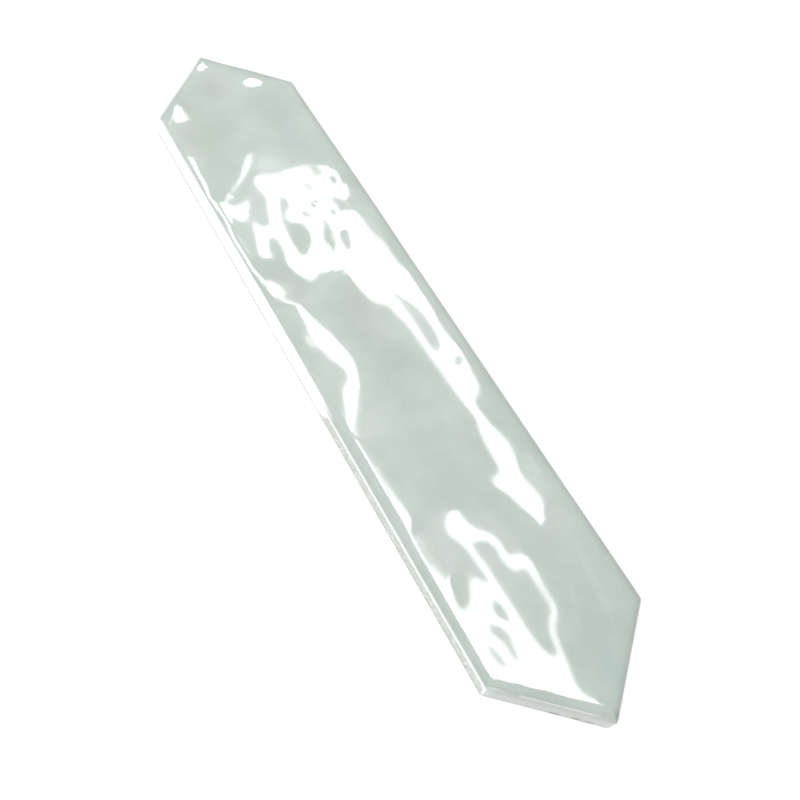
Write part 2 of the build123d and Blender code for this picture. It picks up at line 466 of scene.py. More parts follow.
@dataclass
class Relief:
    """The fine relief of the glaze, settled so that the softboxes gleam in it as drawn."""

    outline: Outline
    reach: tuple[float, float] = (172, 40)  # how far the grid runs each way from the middle
    step: float = 0.8
    rounds: int = 380
    settled: float = 1.3  # how much sooner than the last round the smoothing is at its finest
    margin: float = 1.6  # how far past the edge of a lamp's image a place is pushed
    unlit_depth: float = -6.4  # how deep in a lamp's image a place lies where nothing is drawn
    faint_depth: float = -0.1  # the same for a faint place
    faint_edge: float = 0.8  # how far in from its outline a faint place is wholly faint
    first_smoothing: float = 8.0
    last_smoothing: float = 1.0
    pace: float = 0.8
    nudge: float = 1e-4  # the slope that tries how a place's reflection moves
    largest_push: float = 3.0
    steadiness: float = 2e3  # keeps a place that hardly moves its reflection from running away
    lowest_rise: float = 20.0  # below this a reflection counts as just missing the lamps
    rim: float = 1.2  # the band beside the outline where nothing is asked
    clearance: float = 0.02  # how far the glaze stays below the top of the solid part

    def __post_init__(self) -> None:
        """Lays out the grid that the relief is worked out on."""
        self.xs, self.ys = (np.arange(-reach, reach, self.step) for reach in self.reach)
        self.x, self.y = np.meshgrid(self.xs, self.ys)
        kx = 2 * math.pi * np.fft.rfftfreq(len(self.xs), self.step)
        ky = 2 * math.pi * np.fft.fftfreq(len(self.ys), self.step)
        self.kx, self.ky = np.meshgrid(kx, ky)
        self.k2 = self.kx ** 2 + self.ky ** 2

    def wanted(self) -> np.ndarray:
        """How deep in a lamp's image each place is to lie: positive bright, negative dark.

        Returns:
            The depth at each place of the grid.
        """
        x = (self.x - DRAWING_SHIFT[0]) / DRAWING_SCALE[0]
        y = (self.y - DRAWING_SHIFT[1]) / DRAWING_SCALE[1]
        deep = np.full(x.shape, self.unlit_depth)
        for gleam in GLEAMS:
            depth = gleam.depth(x, y)
            if gleam.lit is Lit.BRIGHT:
                deep = np.maximum(deep, depth)
            elif gleam.lit is Lit.DARK:
                deep = np.minimum(deep, -depth)
            else:
                share = np.clip(depth / self.faint_edge, 0, 1)
                deep = deep * (1 - share) + self.faint_depth * share
        return np.clip(deep, -self.margin, self.margin)

    def lamp_depth(self, p: np.ndarray, q: np.ndarray) -> np.ndarray:
        """How deep in the image of the nearest softbox each place of the face lies.

        Args:
            p: The slope of the face along the tile.
            q: Its slope across.

        Returns:
            The distance to the edge of the lamp's image, positive inside it.
        """
        level = self.outline.face_height
        dx, dy, dz = self.x - EYE[0], self.y - EYE[1], level - EYE[2]
        turn = (dz - p * dx - q * dy) / (1 + p * p + q * q)
        # Where a flat tile would mirror the spot that the eye sees in the plane of the lamps
        rise = np.maximum(dz - 2 * turn, self.lowest_rise)
        ahead = (LAMP_HEIGHT - level) / rise
        reach = (LAMP_HEIGHT - level) / (EYE[2] - level)
        u = (self.x + ahead * (dx + 2 * turn * p) + reach * EYE[0]) / (1 + reach)
        v = (self.y + ahead * (dy + 2 * turn * q) + reach * EYE[1]) / (1 + reach)
        best = np.full(u.shape, -np.inf)
        for lamp in SOFTBOXES:
            (u0, u1), (v0, v1) = lamp.along, lamp.across
            past_u = np.abs(u - (u0 + u1) / 2) - (u1 - u0) / 2
            past_v = np.abs(v - (v0 + v1) / 2) - (v1 - v0) / 2
            outside = np.hypot(np.maximum(past_u, 0), np.maximum(past_v, 0))
            best = np.maximum(best, -outside - np.minimum(np.maximum(past_u, past_v), 0))
        return best

    def settle(self) -> np.ndarray:
        """Works out the relief: each round turns the places that gleam wrongly, then smooths.

        Returns:
            The relief on the grid, in millimetres, without the swells of the solid part.
        """
        base = self.outline.swell(self.x, self.y)
        base_q, base_p = np.gradient(base, self.step)
        wanted = self.wanted()
        inside = self.outline.inside(self.x, self.y)
        heed = np.clip((inside - self.rim) / self.rim, 0, 1)
        relief = np.zeros_like(self.x)
        for round_number in range(self.rounds):
            progress = min(1.0, self.settled * round_number / (self.rounds - 1))
            finer = (self.last_smoothing / self.first_smoothing) ** progress
            smoothing = self.first_smoothing * finer
            waves = np.fft.rfft2(relief)
            p = np.fft.irfft2(1j * self.kx * waves, s=relief.shape) + base_p
            q = np.fft.irfft2(1j * self.ky * waves, s=relief.shape) + base_q
            depth = self.lamp_depth(p, q)
            by_p = (self.lamp_depth(p + self.nudge, q) - depth) / self.nudge
            by_q = (self.lamp_depth(p, q + self.nudge) - depth) / self.nudge
            side = np.where(wanted > 0, 1, -1)
            short = side * np.clip(side * (wanted - depth), 0, self.largest_push)
            short = short * heed / (by_p ** 2 + by_q ** 2 + self.steadiness)
            along, across = np.fft.rfft2(short * by_p), np.fft.rfft2(short * by_q)
            push = -1j * (self.kx * along + self.ky * across) / np.where(self.k2 > 0, self.k2, 1)
            push = push / (1 + (self.k2 * smoothing ** 2) ** 2)
            relief = relief + self.pace * np.fft.irfft2(push, s=relief.shape)
        wrong = int(((wanted * depth < 0) & (heed > 0)).sum())
        log.info("relief: %d of %d places gleam wrongly", wrong, int((heed > 0).sum()))
        on_tile = inside > 0
        highest = CAD_BOX[1][2] / MM - self.clearance
        relief = relief - max(0.0, (base + relief)[on_tile].max() - highest)
        log.info("relief: from %.2f to %.2f mm", relief[on_tile].min(), relief[on_tile].max())
        return relief

    def sample(self, relief: np.ndarray, x: np.ndarray, y: np.ndarray) -> np.ndarray:
        """Reads the relief between the places of its grid, on a smooth curve through them.

        Args:
            relief: The relief on the grid.
            x: Places along the tile.
            y: Places across it.

        Returns:
            The relief at each place.
        """
        column, row = (x - self.xs[0]) / self.step, (y - self.ys[0]) / self.step
        j, i = np.floor(column).astype(int), np.floor(row).astype(int)
        total = np.zeros(x.shape)
        for di, wi in enumerate(spline_weights(row - i)):
            for dj, wj in enumerate(spline_weights(column - j)):
                total += wi * wj * relief[i + di - 1, j + dj - 1]
        return total


def spline_weights(t: np.ndarray) -> tuple[np.ndarray, ...]:
    """The shares of four neighbours in a smooth curve between the middle two.

    Args:
        t: How far along from the second neighbour to the third, from 0 to 1.

    Returns:
        The four shares.
    """
    return (
        (-t ** 3 + 2 * t ** 2 - t) / 2,
        (3 * t ** 3 - 5 * t ** 2 + 2) / 2,
        (-3 * t ** 3 + 4 * t ** 2 + t) / 2,
        (t ** 3 - t ** 2) / 2,
    )


def enter(mode: str) -> None:
    """Enters edit mode or object mode."""
    bpy.ops.object.mode_set(mode=mode)


def select_open_edges() -> None:
    """Selects the edges, in edit mode, that have a face on one side only."""
    bpy.ops.mesh.select_mode(type="EDGE")
    bpy.ops.mesh.select_all(action="DESELECT")
    bpy.ops.mesh.select_non_manifold()


def add_grid(columns: int, rows: int, places: np.ndarray) -> bpy.types.Object:
    """Adds a flat grid of squares and lays its corners where they go.

    Args:
        columns: How many squares it has along.
        rows: How many it has across.
        places: Where its corners go, row by row, in millimetres.

    Returns:
        The grid, the only object selected.
    """
    bpy.ops.object.select_all(action="DESELECT")
    bpy.ops.mesh.primitive_grid_add(
        x_subdivisions=columns, y_subdivisions=rows, size=1, location=(0, 0, 0)
    )
    grid = bpy.context.object
    grid.data.vertices.foreach_set("co", (places * MM).astype(np.float32).ravel())
    return grid


@dataclass
class PicketTile:
    """The whole tile: the wavy glazed face, the rounded arris, the sides and the keyed back."""

    outline: Outline
    cells_along: int = 560
    cells_across: int = 112
    arris_rings: int = 6
    side_levels: tuple[float, ...] = (4.6, 2.2)
    foot_chamfer: float = 0.2
    rim: float = 6.0
    pocket: float = 9.0
    rib: float = 3.0
    pocket_depth: float = 0.7
    pocket_lean: float = 30.0
    smallest_pocket: float = 30.0
    crease: float = 28.0  # degrees between faces past which the edge is sharp

    def build(self, relief: Relief) -> bpy.types.Object:
        """Models the tile: its face, the arris and sides extruded from it, and its back.

        Args:
            relief: The fine relief of the glaze.

        Returns:
            The tile.
        """
        fine = relief.settle()

        def face_at(places: np.ndarray) -> np.ndarray:
            """The height of the glaze at places of the face."""
            x, y = places[:, 0], places[:, 1]
            return self.outline.swell(x, y) + relief.sample(fine, x, y)

        places, ways = self.face_places()
        face = np.column_stack([places, face_at(places)])
        tile = add_grid(self.cells_along, self.cells_across, face)
        tile.name = "glazed_picket_tile"
        edge = np.flatnonzero(np.abs(ways).sum(axis=1) > 0)
        self.extrude_sides(tile, places[edge], ways[edge], face_at)
        self.close_back(tile, self.press_back())
        return tile

    def face_places(self) -> tuple[np.ndarray, np.ndarray]:
        """Where the places of the face's grid go, drawn in to follow the pointed ends.

        Returns:
            The places row by row from -Y to +Y, and the way outwards of those on the edge.
        """
        inset = self.outline.arris_radius
        corners = self.outline.corners(inset)
        share = np.linspace(0, 1, self.cells_along + 1)[:, None]
        near = corners[0] + (corners[1] - corners[0]) * share
        far = corners[4] + (corners[3] - corners[4]) * share
        right = bent_path(corners[1], corners[2], corners[3], self.cells_across + 1)
        left = bent_path(corners[0], corners[5], corners[4], self.cells_across + 1)
        (near, near_way), (far, far_way) = self.rounded(near, inset), self.rounded(far, inset)
        (left, left_way), (right, right_way) = self.rounded(left, inset), self.rounded(right, inset)
        a = share[None, :, :]
        b = np.linspace(0, 1, self.cells_across + 1)[:, None, None]
        places = (1 - b) * near[None] + b * far[None] + (1 - a) * left[:, None] + a * right[:, None]
        places = places - (1 - a) * (1 - b) * near[0] - a * (1 - b) * near[-1]
        places = places - (1 - a) * b * far[0] - a * b * far[-1]
        ways = np.zeros_like(places)
        ways[0], ways[-1], ways[:, 0], ways[:, -1] = near_way, far_way, left_way, right_way
        return places.reshape(-1, 2), ways.reshape(-1, 2)

    def rounded(self, loop: np.ndarray, inset: float) -> tuple[np.ndarray, np.ndarray]:
        """Moves the places of a sharp outline onto the rounded one.

        Args:
            loop: Places on the sharp outline.
            inset: How far that outline is drawn in.

        Returns:
            The places on the rounded outline, and the way outwards at each.
        """
        radius = self.outline.corner_radius - inset
        core = self.outline.corners(inset + radius)
        best, spot = np.full(len(loop), np.inf), np.zeros_like(loop)
        for a, b in zip(core, np.roll(core, -1, axis=0)):
            edge = b - a
            t = np.clip((loop - a) @ edge / (edge @ edge), 0, 1)[:, None]
            near = a + t * edge
            far = np.linalg.norm(loop - near, axis=1)
            spot = np.where((far < best)[:, None], near, spot)
            best = np.minimum(best, far)
        way = (loop - spot) / np.linalg.norm(loop - spot, axis=1)[:, None]
        return spot + way * radius, way

    def extrude_sides(
        self,
        tile: bpy.types.Object,
        edge: np.ndarray,
        ways: np.ndarray,
        face_at: Callable[[np.ndarray], np.ndarray],
    ) -> None:
        """Extrudes the face's edge ring by ring into the arris, the sides and the foot.

        Args:
            tile: The tile, so far only its face.
            edge: The places of the face's edge.
            ways: The way outwards at each.
            face_at: Gives the height of the glaze at places.
        """
        radius = self.outline.arris_radius
        at_edge = face_at(edge)
        rings = []
        for ring in range(1, self.arris_rings + 1):
            angle = math.pi / 2 * ring / self.arris_rings
            out = edge + ways * radius * math.sin(angle)
            follow = face_at(out) - at_edge
            drop = radius * (1 - math.cos(angle))
            rings.append((out, at_edge + follow * math.cos(angle) - drop))
        side = edge + ways * radius
        for level in (*self.side_levels, self.foot_chamfer):
            rings.append((side, np.full(len(side), level)))
        rings.append((side - ways * self.foot_chamfer, np.zeros(len(side))))
        enter("EDIT")
        select_open_edges()
        before = edge
        for places, heights in rings:
            bpy.ops.mesh.extrude_edges_move()
            enter("OBJECT")
            place_selected(tile.data, before, np.column_stack([places, heights]))
            before = places
            enter("EDIT")
        enter("OBJECT")

    def press_back(self) -> bpy.types.Object:
        """Models the keyed middle of the back from a grid, whose squares are inset as pockets.

        Returns:
            The sheet inside the plain rim.
        """
        pitch = self.pocket + self.rib
        reaches = self.outline.length / 2, self.outline.width / 2
        columns, rows = (int(2 * reach / pitch) | 1 for reach in reaches)
        x, y = np.meshgrid(
            self.pocket_lines(columns, reaches[0]), self.pocket_lines(rows, reaches[1])
        )
        places = np.column_stack([x.ravel(), y.ravel(), np.zeros(x.size)])
        back = add_grid(2 * columns + 1, 2 * rows + 1, places)
        enter("EDIT")
        corners = self.outline.corners(self.rim)
        for a, b in zip(corners, np.roll(corners, -1, axis=0)):
            way = Vector((b[1] - a[1], a[0] - b[0], 0)).normalized()
            bpy.ops.mesh.select_all(action="SELECT")
            bpy.ops.mesh.bisect(plane_co=Vector((*a, 0)) * MM, plane_no=way, clear_outer=True)
        bpy.ops.mesh.select_mode(type="FACE")
        bpy.ops.mesh.select_all(action="DESELECT")
        enter("OBJECT")
        for face in back.data.polygons:
            x, y = face.center.x / MM, face.center.y / MM
            off_x, off_y = x - pitch * round(x / pitch), y - pitch * round(y / pitch)
            in_square = max(abs(off_x), abs(off_y)) < self.pocket / 2
            face.select = in_square and face.area >= self.smallest_pocket * MM * MM
        enter("EDIT")
        depth = self.pocket_depth * MM
        narrowing = depth * math.tan(math.radians(self.pocket_lean))
        bpy.ops.mesh.inset(thickness=narrowing, depth=depth, use_individual=True)
        enter("OBJECT")
        return back

    def pocket_lines(self, count: int, reach: float) -> list[float]:
        """Where the edges of the pockets lie along one way, with the ends of the sheet.

        Args:
            count: How many pockets there are that way, an odd number.
            reach: How far the sheet runs from the middle.

        Returns:
            The places of the lines.
        """
        middles = [(self.pocket + self.rib) * (i - count // 2) for i in range(count)]
        edges = [middle + side * self.pocket / 2 for middle in middles for side in (-1, 1)]
        return [min(edges[0], -reach) - self.rib, *edges, max(edges[-1], reach) + self.rib]

    def close_back(self, tile: bpy.types.Object, back: bpy.types.Object) -> None:
        """Joins the keyed middle to the tile and fills the plain rim between them.

        Args:
            tile: The tile, open below.
            back: The sheet inside the rim.
        """
        bpy.ops.object.select_all(action="DESELECT")
        back.select_set(True)
        tile.select_set(True)
        bpy.context.view_layer.objects.active = tile
        bpy.ops.object.join()
        enter("EDIT")
        select_open_edges()
        bpy.ops.mesh.fill()
        bpy.ops.mesh.select_all(action="SELECT")
        bpy.ops.mesh.normals_make_consistent(inside=False)
        enter("OBJECT")
        bpy.ops.object.shade_smooth_by_angle(angle=math.radians(self.crease))


def bent_path(start: np.ndarray, bend: np.ndarray, end: np.ndarray, count: int) -> np.ndarray:
    """Places evenly along a path of two straight runs.

    Args:
        start: Where it starts.
        bend: Where it bends.
        end: Where it ends.
        count: How many places, counting both ends, an odd number.

    Returns:
        The places.
    """
    half = np.linspace(0, 1, (count + 1) // 2)[:, None]
    return np.concatenate([start + (bend - start) * half, (bend + (end - bend) * half)[1:]])


def place_selected(mesh: bpy.types.Mesh, before: np.ndarray, after: np.ndarray) -> None:
    """Moves the selected vertices, each from the known place where it stands.

    Args:
        mesh: The mesh.
        before: The known places along and across, in millimetres.
        after: The place in three dimensions that each goes to.
    """
    spots = np.zeros(len(mesh.vertices) * 3, np.float32)
    chosen = np.zeros(len(mesh.vertices), bool)
    mesh.vertices.foreach_get("co", spots)
    mesh.vertices.foreach_get("select", chosen)
    spots = spots.reshape(-1, 3)
    now = spots[chosen, :2] / MM
    far = (now[:, None, 0] - before[None, :, 0]) ** 2 + (now[:, None, 1] - before[None, :, 1]) ** 2
    spots[chosen] = after[far.argmin(axis=1)] * MM
    mesh.vertices.foreach_set("co", spots.ravel())


class Weave:
    """Adds shader nodes to one tree, each fed from those before it."""

    def __init__(self, tree: bpy.types.NodeTree) -> None:
        """Starts on a tree."""
        self.tree = tree

    def add(self, kind: str, **settings: object) -> bpy.types.Node:
        """Adds a node.

        Args:
            kind: Its kind, as Blender names it after the word for shader nodes.
            settings: Its settings.

        Returns:
            The node.
        """
        node = self.tree.nodes.new("ShaderNode" + kind)
        for name, value in settings.items():
            setattr(node, name, value)
        return node

    def feed(self, socket: Socket, value: object) -> None:
        """Links a value that comes from a node, or writes a plain one on the socket.

        Args:
            socket: The socket.
            value: Another node's socket, or a plain value.
        """
        if isinstance(value, Socket):
            self.tree.links.new(value, socket)
        else:
            socket.default_value = value

    def fed(self, kind: str, values: tuple[object, ...], **settings: object) -> bpy.types.Node:
        """Adds a node whose first sockets are fed in order.

        Args:
            kind: Its kind.
            values: What those sockets get.
            settings: Its settings.

        Returns:
            The node.
        """
        node = self.add(kind, **settings)
        for socket, value in zip(node.inputs, values):
            self.feed(socket, value)
        return node

    def math(self, operation: str, *values: object) -> Socket:
        """One step of arithmetic."""
        return self.fed("Math", values, operation=operation).outputs[0]

    def product(self, first: object, *others: object) -> Socket:
        """Several values multiplied together.

        Args:
            first: One of them.
            others: The rest.

        Returns:
            The product.
        """
        for other in others:
            first = self.math("MULTIPLY", first, other)
        return first

    def vector(self, operation: str, *values: object) -> Socket:
        """One step of arithmetic on places."""
        return self.fed("VectorMath", values, operation=operation).outputs[0]

    def scaled(self, place: Socket, scale: object) -> Socket:
        """A place or colour made larger or smaller."""
        nought = (0.0, 0.0, 0.0)  # for the two sockets that this operation leaves unused
        return self.vector("SCALE", place, nought, nought, scale)

    def split(self, place: Socket) -> tuple[Socket, ...]:
        """The parts of a place: along, across and up."""
        return tuple(self.fed("SeparateXYZ", (place,)).outputs)

    def fade(
        self, value: object, low: object, high: object, first: float = 0, last: float = 1
    ) -> Socket:
        """A soft step from the first share at the low value to the last at the high one."""
        values = (value, low, high, first, last)
        return self.fed("MapRange", values, interpolation_type="SMOOTHSTEP").outputs[0]

    def tint(self, share: object, first: object, second: object) -> Socket:
        """A colour between two.

        Args:
            share: How far it is from the first to the second.
            first: One colour, plain or from a node.
            second: The other.

        Returns:
            The mixed colour.
        """
        node = self.add("Mix", data_type="RGBA")
        factor, colour_a, colour_b, result = 0, 6, 7, 2
        self.feed(node.inputs[factor], share)
        for socket, colour in ((colour_a, first), (colour_b, second)):
            self.feed(node.inputs[socket], (*colour, 1) if isinstance(colour, tuple) else colour)
        return node.outputs[result]

    def noise(self, place: Socket, size: float, detail: float = 2.0, rough: float = 0.5) -> Socket:
        """Soft noise about a half.

        Args:
            place: The places on the tile.
            size: The size of its lumps, in millimetres.
            detail: How many finer layers it has.
            rough: How strong those are.

        Returns:
            The noise at each place.
        """
        node = self.add("TexNoise")
        self.feed(node.inputs["Vector"], self.vector("DIVIDE", place, (size, size, size)))
        for name, value in (("Scale", 1.0), ("Detail", detail), ("Roughness", rough)):
            node.inputs[name].default_value = value
        return node.outputs[0]


# The kinds of socket, where it isn't a plain value
SOCKET_KINDS = {"Place": "Vector", "Middle": "Vector", "Reach": "Vector", "Colour": "Color"}


def shader_group(name: str, inputs: tuple[str, ...], outputs: tuple[str, ...]) -> tuple:
    """Starts a shader node group with its sockets.

    Args:
        name: Its name.
        inputs: The names of its inputs.
        outputs: The names of its outputs.

    Returns:
        The group, a weave on it, what it is given, and the sockets that it puts out by.
    """
    group = bpy.data.node_groups.new(name, "ShaderNodeTree")
    for side, names in (("INPUT", inputs), ("OUTPUT", outputs)):
        for each in names:
            kind = "NodeSocket" + SOCKET_KINDS.get(each, "Float")
            group.interface.new_socket(each, in_out=side, socket_type=kind)
    given, out = group.nodes.new("NodeGroupInput"), group.nodes.new("NodeGroupOutput")
    return group, Weave(group), given.outputs, out.inputs


class Tone(Enum):
    """Tones that the glaze and the marks on it take, each a share of the glaze's own colour; one is
    a painted shade and one a blue-white painted highlight.
    """

    MOSS = (0.90, 0.93, 0.88)
    UMBER = (0.91, 0.90, 0.86)
    SLATE = (0.93, 0.97, 1.00)
    ROSE = (1.03, 0.99, 0.985)
    MILK = (1.09, 1.07, 1.08)
    # painted shade
    SHADE = (0.86, 0.89, 0.87)
    # a blue-white painted highlight
    FROST = (1.22, 1.24, 1.30)
    SOOT = (0.35, 0.35, 0.30)


@dataclass(frozen=True)
class Cloud:
    """A soft patch of another tone, placed in millimetres."""

    tone: Tone
    share: float
    middle: tuple[float, float, float]
    reach: tuple[float, float, float]  # half sizes along, across and up
    turn: float = 0.0  # degrees from the tile's length


CLOUDS = (
    Cloud(Tone.MOSS, 0.6, (-125, -12, 8), (34, 17, 30)),
    Cloud(Tone.UMBER, 0.5, (-120, -20, 8), (30, 12, 30)),
    Cloud(Tone.UMBER, 0.6, (-145, -2, 8), (14, 12, 30)),
    Cloud(Tone.SLATE, 0.35, (-110, 18, 8), (30, 12, 30)),
    Cloud(Tone.MOSS, 0.5, (25, -2, 8), (42, 13, 30)),
    Cloud(Tone.ROSE, 0.8, (-10, 2, 8), (24, 10, 30)),
    Cloud(Tone.ROSE, 0.6, (-30, -20, 8), (16, 9, 30)),
    # painted shade over the near right point
    Cloud(Tone.SHADE, 0.12, (137, 12, 8), (34, 17, 30), turn=-20),
    Cloud(Tone.MILK, 0.8, (123, 20.5, 8), (22, 2.6, 30), turn=-9),
    Cloud(Tone.MILK, 0.6, (128, 9, 8), (14, 1.8, 30), turn=-24),
    Cloud(Tone.SLATE, 0.9, (150, 9, 8), (11, 7, 30)),
    Cloud(Tone.MILK, 0.7, (-160, -9, 6), (12, 6, 30), turn=45),
    # painted highlight on the shoulder corner of the -Y side
    Cloud(Tone.FROST, 0.8, (135.9, -31.8, 4), (2.6, 2.2, 9)),
)

# Sooty marks on one point and at the foot beside it
MARKS = (
    Cloud(Tone.SOOT, 0.75, (162.4, 1.2, 7.4), (2.6, 1.5, 1.6), turn=-30),
    Cloud(Tone.SOOT, 0.95, (152.0, -14.3, 1.0), (3.2, 3.4, 2.2)),
    Cloud(Tone.SOOT, 0.95, (156.9, -8.9, 1.8), (2.2, 2.4, 2.4)),
    Cloud(Tone.SOOT, 0.95, (159.8, -5.7, 0.8), (3.0, 3.2, 1.8)),
)


@dataclass(frozen=True)
class Mottle:
    """Soft noise, spread from one value to another between two of its levels."""

    size: float  # of its lumps, in millimetres
    detail: float
    levels: tuple[float, float]
    values: tuple[float, float] = (0.0, 1.0)
    rough: float = 0.5

    def woven(self, weave: Weave, place: Socket) -> Socket:
        """The value at each place."""
        noise = weave.noise(place, self.size, self.detail, self.rough)
        return weave.fade(noise, *self.levels, *self.values)


@dataclass(frozen=True)
class PaintedEdgeHighlights:
    """Where highlights are painted on the glaze's edges. Each step gives two places, then the share
    at each of them.
    """

    wobble: float = 14.0  # how unevenly things end along the side, in millimetres
    # the white painted highlight down the far part of the -Y side and along its arris
    white_highlight_side: Step = (-31.3, -30.0, 1, 0)
    white_highlight_end: Step = (22, 40, 1, 0)
    arris_highlight: Step = (-32.2, -31.9, 0.9, 0)
    # the white painted highlight on the far point's arris
    far_end: Step = (-135, -134, 1, 0)
    far_side: Step = (-1, 0, 1, 0)
    far_edge: Step = (0.4, 1.6, 0.8, 0)
    above_sides: Step = (6.4, 7.2, 0, 1)
    # the pale painted highlight along the arris of the +Y side
    sheltered_edge: Step = (0.15, 1.0, 0.8, 0)
    sheltered_side: Step = (-2, 2, 0, 1)
    thread_inset: float = 1.05  # a thin painted highlight runs this far in along the near point
    thread_edge: Step = (0.1, 0.35, 0.75, 0)
    thread_gaps: Step = (0.35, 0.5, 0, 1)
    # the pale painted highlight along the near point's arris
    near_arris_highlight: Step = (0.5, 1.1, 0.3, 0)
    near_end: Step = (134.5, 136, 0, 1)
    near_side: Step = (-3, 0, 1, 0)


@dataclass(frozen=True)
class GlazedClay:
    """The tile's finish: a gloss glaze, and the bare fired clay where no glaze has run."""

    outline: Outline
    edge_highlights: PaintedEdgeHighlights = PaintedEdgeHighlights()
    glaze: Rgb = (0.53, 0.595, 0.565)
    # the white of the painted highlights on the -Y side and the far point
    highlight_white: Rgb = (0.92, 0.94, 0.94)
    # the pale of the painted highlights along the arris
    highlight_pale: Rgb = (0.82, 0.80, 0.775)
    clay: Rgb = (0.57, 0.59, 0.555)
    chalk: Rgb = (0.81, 0.84, 0.81)
    # the dark of the dust and painted contact shadow at the foot
    dust_and_shadow: Rgb = (0.30, 0.29, 0.26)
    glaze_roughness: float = 0.38
    clay_roughness: float = 0.75
    gloss_roughness: float = 0.048
    gloss: float = 1.6  # how strongly the glaze mirrors, as its index of refraction
    haze: float = 0.06
    clay_grain: float = 0.03  # height of the clay's grain
    hue: Mottle = Mottle(30.0, 1.0, (0.36, 0.64))
    pooling: Mottle = Mottle(13.0, 3.0, (0.30, 0.70), (0.965, 1.035))
    speckle: Mottle = Mottle(1.5, 2.0, (0.25, 0.75), (0.985, 1.015))
    thin_rim: Step = (0.8, 3.2, 0.91, 1)
    cloud_edge: Step = (0.45, 1.25, 1, 0)
    cloud_lump: float = 5.0
    cloud_ragged: float = 0.5
    wobble_lump: float = 7.0  # how long the unevenness of the glaze's edges is
    drip: float = 1.3  # how far the glaze's lowest line wanders
    lowest: float = 0.1  # where that line, and the dust and painted contact shadow at the foot, are lowest
    bare_drip: float = 0.5
    bare_line: float = 7.0  # the glaze's line above the bare clay
    bare_start: Step = (24, 34, 0, 1)
    bare_end: Step = (134.2, 135.6, 1, 0)
    bare_side: Step = (-32, -31, 1, 0)
    bare_back: Step = (0.3, 0.6, 0, 3)
    line_softness: float = 0.12
    scuff_slant: float = 38.0  # degrees
    scuff_stretch: tuple[float, float, float] = (0.3, 1, 1.6)
    scuff: Mottle = Mottle(0.9, 2.0, (0.45, 0.62), rough=0.6)
    scuff_patches: Mottle = Mottle(9.0, 2.0, (0.3, 0.7), (0.35, 1.0))
    foot_lump: float = 2.5
    foot_rise: float = 0.6
    foot_fade: float = 0.3
    foot_dust_and_shadow: float = 0.8
    under_foot: Step = (0.02, 0.06, 0, 1)
    grain: tuple[float, ...] = (0.5, 3.0, 0.6)  # its lumps, detail and roughness

    def places_group(self) -> bpy.types.NodeTree:
        """The places on the tile: in millimetres, how far inside the outline, and how high.

        Returns:
            The group.
        """
        group, weave, _, out = shader_group("tile_places", (), ("Place", "Inset", "Height"))
        place = weave.scaled(weave.add("TexCoord").outputs["Object"], 1 / MM)
        x, y, height = weave.split(place)
        long, wide = weave.math("ABSOLUTE", x), weave.math("ABSOLUTE", y)
        to_side = weave.math("SUBTRACT", self.outline.width / 2, wide)
        reach = weave.math("MULTIPLY_ADD", wide, self.outline.lean, long)
        to_point = weave.math("SUBTRACT", self.outline.length / 2, reach)
        to_point = weave.math("DIVIDE", to_point, math.hypot(1, self.outline.lean))
        weave.feed(out["Place"], place)
        weave.feed(out["Inset"], weave.math("MINIMUM", to_side, to_point))
        weave.feed(out["Height"], height)
        return group

    def cloud_group(self) -> bpy.types.NodeTree:
        """A soft-edged ellipsoid, uneven along its edge: one in its middle, nought outside.

        Returns:
            The group.
        """
        inputs = ("Place", "Middle", "Reach", "Turn")
        group, weave, given, out = shader_group("soft_cloud", inputs, ("Mask",))
        turned = weave.add("VectorRotate", rotation_type="Z_AXIS", invert=True)
        away = weave.vector("SUBTRACT", given["Place"], given["Middle"])
        weave.feed(turned.inputs["Vector"], away)
        weave.feed(turned.inputs["Angle"], given["Turn"])
        share = weave.vector("DIVIDE", turned.outputs[0], given["Reach"])
        far = weave.fed("VectorMath", (share,), operation="LENGTH").outputs["Value"]
        lumps = weave.noise(given["Place"], self.cloud_lump)
        far = weave.math("MULTIPLY_ADD", lumps, self.cloud_ragged, far)
        weave.feed(out["Mask"], weave.fade(far, *self.cloud_edge))
        return group

    def glaze_group(self, cloud: bpy.types.NodeTree) -> bpy.types.NodeTree:
        """The colour of the glaze: pooled tones, a fine speckle, the clouds, among them a painted
        shade and a painted highlight, the thin rim, and painted highlights along the edges.

        Args:
            cloud: The group of a soft cloud.

        Returns:
            The group.
        """
        group, weave, given, out = shader_group("glaze_colour", ("Place", "Inset"), ("Colour",))
        place, inset = given["Place"], given["Inset"]
        mossy, slaty = self.shaded(Tone.MOSS, 0.55), self.shaded(Tone.SLATE, -0.15)
        colour = weave.tint(self.hue.woven(weave, place), mossy, slaty)
        colour = self.clouded(weave, cloud, CLOUDS, place, colour)
        level = weave.product(self.pooling.woven(weave, place), self.speckle.woven(weave, place))
        level = weave.product(level, weave.fade(inset, *self.thin_rim))
        colour = self.highlighted_edges(weave, place, inset, weave.scaled(colour, level))
        weave.feed(out["Colour"], colour)
        return group

    def clouded(
        self,
        weave: Weave,
        cloud: bpy.types.NodeTree,
        clouds: tuple[Cloud, ...],
        place: Socket,
        colour: Socket,
    ) -> Socket:
        """Lays soft clouds of other tones over a colour.

        Args:
            weave: The weave that the colour is in.
            cloud: The group of a soft cloud.
            clouds: The clouds.
            place: The places on the tile.
            colour: The colour under them.

        Returns:
            The clouded colour.
        """
        for each in clouds:
            values = (place, each.middle, each.reach, math.radians(each.turn))
            node = weave.add("Group", node_tree=cloud)
            for socket, value in zip(node.inputs, values):
                weave.feed(socket, value)
            mask = weave.product(node.outputs["Mask"], each.share)
            colour = weave.tint(mask, colour, weave.vector("MULTIPLY", colour, each.tone.value))
        return colour

